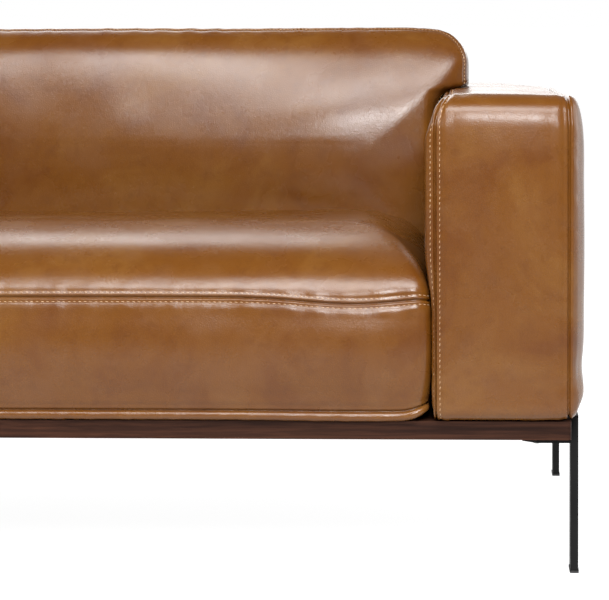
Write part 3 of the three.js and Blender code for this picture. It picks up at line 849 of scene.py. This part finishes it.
def arm_cover(spacing):
    low, high = box_of("right_arm_cover")
    low[1], high[1] = cad_low.y, -cad_low.y - 0.5 * MM
    low[2] -= 3 * MM
    rear = [
        (80, 905.5), (58, 905.2), (38, 904.6), (22, 904.0), (11, 904.2), (4.5, 905.6), (1.5, 908),
        (0.5, 918), (0, 942), (0, 976), (0, 1010), (0, 1042), (1, 1065), (3, 1080), (3.2, 1084.5),
        (7, 1088), (13, 1091.5), (22, 1095.5), (34, 1098.5), (50, 1099.7), (70, 1100),
    ]
    front = [(62, 895.2), (40, 894.8), (21, 894.8), (9, 896), (3.4, 899.4), (1.4, 903.2), *rear[6:]]
    top = [
        (92, 901), (68, 900.5), (47, 901.5), (30, 905), (17, 911), (9, 916.5), (4.5, 922), (2, 931),
        (0, 950), (0.3, 980), (1, 1011), (2, 1041), (3, 1062), (4.5, 1077), (3.5, 1082), (6, 1087),
        (12, 1091), (21, 1095), (35, 1098), (53, 1099.7), (72, 1100),
    ]
    bottom = [
        (60, 905), (44, 904.8), (30, 904.6), (18, 904.8), (9, 905.6), (3.5, 907.5), (1.5, 910),
        (0.5, 919), (0, 942), (0, 976), (0, 1010), (0, 1042), (1, 1065), (3, 1080), (3, 1084),
        (5, 1087), (9, 1089.5), (15, 1092), (24, 1094), (36, 1095.5), (50, 1096.5),
    ]
    profiles = {"u-": front, "u+": rear, "v+": top, "v-": bottom}
    pad = Pad(low, high, 0, (0.014, 0.037), profiles, [6, 13], "u-", spacing)
    relax(pad, 0)
    x, y, z = pad.points.T
    fullness = rise(z, 0.345, 0.430) * (1 - rise(z, 0.565, 0.625)) * (1 - 0.5 * rise(y, -0.38, -0.20))
    fullness *= 1 - rise(y, 0.05, 0.086)
    pad.points[:, 0] += np.clip(0.908 - x, 0, None) * 0.72 * (1 - fullness)
    middle = 1 - rise(np.abs(x - 0.992), 0.045, 0.085)
    pad.points[:, 1] -= 2.0 * MM * middle * (1 - rise(y, -0.43, -0.38)) * rise(z, 0.22, 0.30)
    shoulder = np.clip((z - 0.535) / 0.091, 0, 1) ** 2
    in_front = 1 - rise(y, -0.41, -0.37)
    pad.points[:, 1] += 5 * MM * shoulder * in_front
    pad.points[:, 2] += 3 * MM * bump_at(z, 0.607, 0.013) * in_front
    waist = -2.5 * MM * bump_at(z, 0.272, 0.022) + 1.5 * MM * bump_at(z, 0.238, 0.018)
    pad.points[:, 0] += waist * rise(x, 1.080, 1.096)
    top = rise(z, 0.58, 0.615)
    slope_back = 5 * rise(y, -0.41, -0.10)
    slope_out = 4 * rise(x, 0.99, 1.08) * rise(y, -0.30, 0.35)
    pad.points[:, 2] -= MM * top * (slope_back + slope_out)
    return pad


def arm_room(points):
    x, _, z = points.T
    return rise(x, 0.906, 0.93) * rise(z, 0.215, 0.26)


def rear_room(points):
    return np.full(len(points), 0.3)


def back_cover(spacing):
    low, high = box_of("back_cover")
    low[0] = 0
    outer = [
        (30, 352.5), (22, 352.6), (15, 353), (9, 354.5), (4.5, 358), (2, 364), (0.5, 378), (0, 395),
        (0.5, 412), (2.5, 424), (4, 430), (8, 434.5), (15, 437), (26, 438), (42, 438.5),
    ]
    centre = [
        (22, 352.5), (16, 352.6), (11, 352.8), (7, 353.4), (3.5, 355.4), (1.5, 361), (0.4, 378),
        (0.2, 395), (0.4, 412), (1.5, 426), (3, 431.5), (7, 435.6), (13, 437.3), (22, 438),
        (36, 438.5),
    ]
    profiles = {"u+": outer, "u-": centre, "v+": outer, "v-": outer}
    pad = Pad(low, high, 1, (0.014, 0.022), profiles, [5, 9], "u+", spacing)
    relax(pad, 1)
    x, _, z = pad.points.T
    pad.points[:, 0] = beside_arm(x, z, high[0])
    return pad


def relax(pad, axis):
    """Smooths the panels inside their rims along one axis, as stretched leather lies."""
    edge = pad.on_band
    values = pad.points[:, axis].copy()
    for _ in range(12):
        values = smoothed(values, pad.faces, 8)
        values[edge] = pad.points[edge, axis]
    pad.points[:, axis] = values


def finish_pad(make, spacing, room, swelling, seams, wander, seed):
    """The finished right-hand shape: swollen, sewn and slightly uneven."""
    pad = make(spacing)
    if SIMULATED and swelling:
        take_swelling(pad, swell(make, room, **swelling))
    uneven = ripples(pad.points, 0.30, seed) * 0.8 + ripples(pad.points, 0.11, seed + 1) * 0.2
    pad.push(uneven * wander * MM * (0.25 + 0.75 * room(pad.points)))
    sew(pad, **seams, seed=seed)
    return pad


def place_pad(name, body, node, pad, lines, pitch):
    """Both hands of a padded piece, with their topstitching."""
    threads = stitches(lines, pitch, THREAD_SHARE * pitch, THREAD_RADIUS)
    for side, sign in SIDES.items():
        cover = make_mesh(f"{side}_{name}", *mirrored(pad.points, pad.faces, sign), "leather")
        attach(cover, body.format(side=side))
        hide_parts(node.format(side=side))
        thread = make_mesh(f"{side}_{name}_topstitching", *mirrored(*threads, sign), "thread")
        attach(thread, body.format(side=side))


def build_seats():
    seat = finish_pad(
        seat_pad,
        spacing=0.007,
        room=seat_room,
        swelling={"pressure": 4.0, "slack": 0.012, "cap": 0.007},
        seams={"depths": [0.8, 1.0], "stitched": [False, True], "pucker": 0.45},
        wander=0.5,
        seed=11,
    )
    lines = [seat.loop(1, -STITCH_ROW), seat.loop(1, STITCH_ROW)]
    place_pad("seat_leather", "{side}_seat", "{side}_seat_cushion", seat, lines, 7 * MM)


def build_backs():
    back = finish_pad(
        back_pad,
        spacing=0.008,
        room=back_room,
        swelling={"pressure": 2.4, "slack": 0.008, "cap": 0.006},
        seams={"depths": [1.0, 0.8], "stitched": [True, False], "pucker": 0.35},
        wander=0.7,
        seed=23,
    )
    lines = [back.loop(0, -STITCH_ROW + 2 * MM), back.loop(0, STITCH_ROW)]
    place_pad("back_leather", "base", "{side}_back_pad", back, lines, 5.5 * MM)


def build_arms():
    arm = finish_pad(
        arm_cover,
        spacing=0.007,
        room=arm_room,
        swelling={"pressure": 2.0, "slack": 0.002, "cap": 0.0015},
        seams={"depths": [1.5, 1.2], "stitched": [True, False], "pucker": 0.30},
        wander=0.5,
        seed=37,
    )
    lines = [arm.loop(0, -STITCH_ROW), arm.loop(0, STITCH_ROW)]
    place_pad("arm_leather", "base", "{side}_arm_cover", arm, lines, 7 * MM)


def build_rear():
    rear = finish_pad(
        back_cover,
        spacing=0.010,
        room=rear_room,
        swelling=None,
        seams={"depths": [0.6, 1.0], "stitched": [False, True], "pucker": 0.25},
        wander=1.0,
        seed=51,
    )
    lines = [rear.loop(1, STITCH_ROW)]
    place_pad("rear_leather", "base", "back_cover", rear, lines, 7 * MM)


def squeeze_seats():
    """Gives each seat's leather and its topstitching a mesh of its own."""
    for side in SIDES:
        for name in (f"{side}_seat_leather", f"{side}_seat_leather_topstitching"):
            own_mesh(bpy.data.objects[name])


# ---------------------------------------------------------------- cloth under and over the springing

CLOTH_SPACING = 0.022


def stretched_cloth(name, node, sag, seed):
    """A sheet fixed along its rim, which sags a little inside it and is slightly uneven."""
    low, high = box_of(node)
    across, along = (round(size / CLOTH_SPACING) for size in (high - low)[:2])
    columns = np.linspace(low[0], high[0], across + 1)
    lines = np.linspace(low[1], high[1], along + 1)
    x, y = (values.ravel() for values in np.meshgrid(columns, lines, indexing="ij"))
    inset = np.minimum(np.minimum(x - low[0], high[0] - x), np.minimum(y - low[1], high[1] - y))
    flat = np.stack([x, y, np.zeros(len(x))], 1)
    drop = rise(inset, 0.01, 0.12) * sag * (1 + 0.3 * ripples(flat, 0.16, seed))
    faces_up = np.stack([x, y, high[2] - drop], 1)
    faces_down = np.stack([x, y, low[2] - drop], 1)
    grid = np.arange(len(x)).reshape(across + 1, along + 1)
    quads = np.stack([grid[:-1, :-1], grid[1:, :-1], grid[1:, 1:], grid[:-1, 1:]], -1).reshape(-1, 4)
    rim = np.concatenate([grid[:-1, 0], grid[-1, :-1], grid[:0:-1, -1], grid[0, :0:-1]])
    following, under = np.roll(rim, -1), len(x)
    walls = np.stack([following, rim, rim + under, following + under], 1)
    faces = np.vstack([quads, quads[:, ::-1] + under, walls])
    cloth = make_mesh(name, np.vstack([faces_up, faces_down]), faces, "lining")
    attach(cloth, "base")
    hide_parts(node)


def build_cloths():
    stretched_cloth("deck_lining", "deck_cloth", 0.1 * MM, 61)
    for side in SIDES:
        stretched_cloth(f"{side}_dust_lining", f"{side}_dust_cover", 5 * MM, 67)


# ---------------------------------------------------------------- pieces kept from the frame

# (part of a node's name, its look): the first that fits is taken
KEPT_LOOKS = [
    ("side_rail", "walnut_across"),
    ("bearer", "walnut_across"),
    ("centre_rail", "walnut_across"),
    ("_rail", "walnut"),
    ("_leg_screw", "zinc"),
    ("_leg", "steel"),
    ("_glide", "glide"),
    ("_board", "timber"),
    ("_post", "timber"),
    ("_webbing", "webbing"),
    ("_cloth", "lining"),
    ("_dust_cover", "lining"),
]
EDGE_ROUNDING = {"walnut": 1.6, "walnut_across": 1.2, "steel": 0.7, "timber": 1.0}


def look_of(name):
    return next((look for part, look in KEPT_LOOKS if part in name), None)


def dress_frame():
    for name, node in nodes.items():
        look = look_of(name)
        if look is None:
            continue
        node.data.materials.clear()
        node.data.materials.append(LOOKS[look])
        if look in EDGE_ROUNDING:
            bevel = node.modifiers.new("edges", "BEVEL")
            bevel.width = EDGE_ROUNDING[look] * MM
            bevel.segments = 3
            bevel.limit_method = "ANGLE"
            bevel.angle_limit = math.radians(40)
            bevel.harden_normals = True


make_camera()
make_studio()
dress_frame()
build_seats()
build_backs()
build_arms()
build_rear()
squeeze_seats()
build_cloths()
